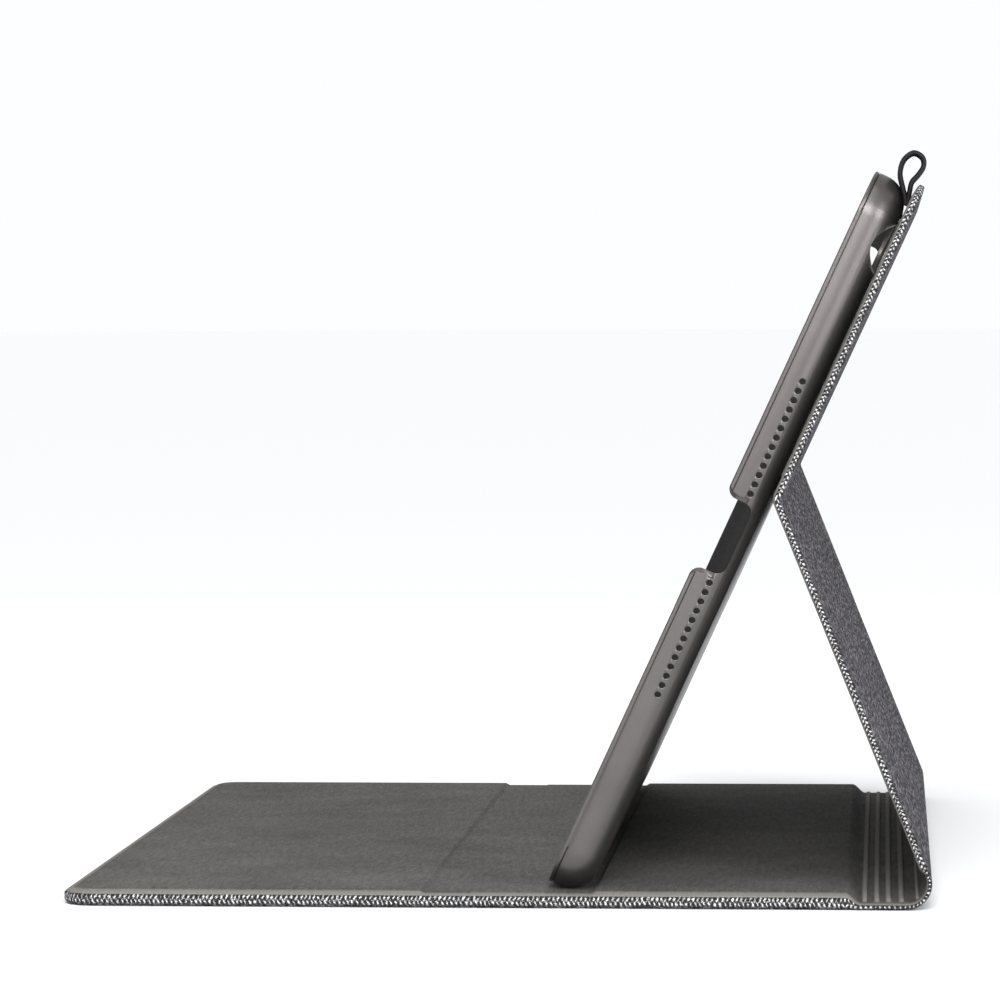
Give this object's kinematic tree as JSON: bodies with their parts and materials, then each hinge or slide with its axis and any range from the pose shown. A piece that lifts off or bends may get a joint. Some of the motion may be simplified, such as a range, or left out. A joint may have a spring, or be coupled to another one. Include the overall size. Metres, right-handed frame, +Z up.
{
  "type": "tablet folio stand case",
  "caption": "Fabric folio case with a moulded tablet tray, a folding back and a ribbed spine, standing open on its cover.",
  "frame": {"origin": "under the middle of the case, on the surface it stands on", "axes": "+X from the cover's free edge towards the spine, +Y along the spine from the port side, +Z up"},
  "size_m": [0.1956, 0.248, 0.1684],
  "materials": {
    "woven_fabric": "salt-and-pepper woven polyester",
    "suede_lining": "brushed microfibre",
    "board": "matte",
    "pad": "foam",
    "magnet": "plated",
    "tray_plastic": "satin",
    "adhesive": "matte",
    "elastic": "knitted elastic"
  },
  "bodies": {
    "front_cover": {"cover_fabric": "woven_fabric", "cover_board": "board", "cover_pad_outer": "pad", "cover_pad_middle": "pad", "cover_pad_inner": "pad", "cover_lining": "suede_lining", "closing_magnets": "magnet", "stand_magnets": "magnet"},
    "spine": {"cover_crease_fabric": "woven_fabric", "cover_crease_lining": "suede_lining", "spine_fabric": "woven_fabric", "spine_lining": "suede_lining", "spine_rib_1": "suede_lining", "spine_rib_2": "suede_lining", "spine_rib_3": "suede_lining", "spine_rib_4": "suede_lining"},
    "spine_edge": {"back_crease_fabric": "woven_fabric", "back_crease_lining": "suede_lining", "spine_rib_5": "suede_lining"},
    "lower_back": {"lower_back_fabric": "woven_fabric", "lower_back_board": "board", "lower_back_lining": "suede_lining"},
    "fold_strip": {"fold_fabric": "woven_fabric", "fold_lining": "suede_lining"},
    "upper_back": {"upper_back_fabric": "woven_fabric", "upper_back_board": "board", "upper_back_lining": "suede_lining", "tray_adhesive": "adhesive", "tray_shell": "tray_plastic", "pen_loop": "elastic"}
  },
  "joints": [
    {"name": "cover_hinge", "type": "hinge", "parent": "front_cover", "child": "spine", "pos_m": [0.08025, 0, -0.0003], "axis": [0, -1, 0], "range_deg": [-170, 0], "deforming": ["cover_crease_fabric", "cover_crease_lining"]},
    {"name": "spine_bend", "type": "hinge", "parent": "spine", "child": "spine_edge", "pos_m": [0.0922, 0, 0.00565], "axis": [0, -1, 0], "range_deg": [-111.6, 0], "deforming": ["back_crease_fabric", "back_crease_lining", "spine_rib_5"]},
    {"name": "stand_hinge", "type": "hinge", "parent": "spine_edge", "child": "lower_back", "pos_m": [0.0922, 0, 0.00565], "axis": [0, -1, 0], "range_deg": [0, 11.8]},
    {"name": "stand_fold", "type": "hinge", "parent": "lower_back", "child": "fold_strip", "pos_m": [0.06559, 0, 0.09107], "axis": [0, -1, 0], "range_deg": [-19.5, 0]},
    {"name": "back_fold", "type": "hinge", "parent": "fold_strip", "child": "upper_back", "pos_m": [0.06559, 0, 0.09107], "axis": [0, -1, 0], "range_deg": [0, 46.5], "deforming": ["fold_fabric", "fold_lining"]}
  ],
  "couplings": [
    {"joint": "stand_hinge", "follows": "stand_fold", "ratio": -0.605},
    {"joint": "back_fold", "follows": "spine_bend", "ratio": -0.41666}
  ]
}
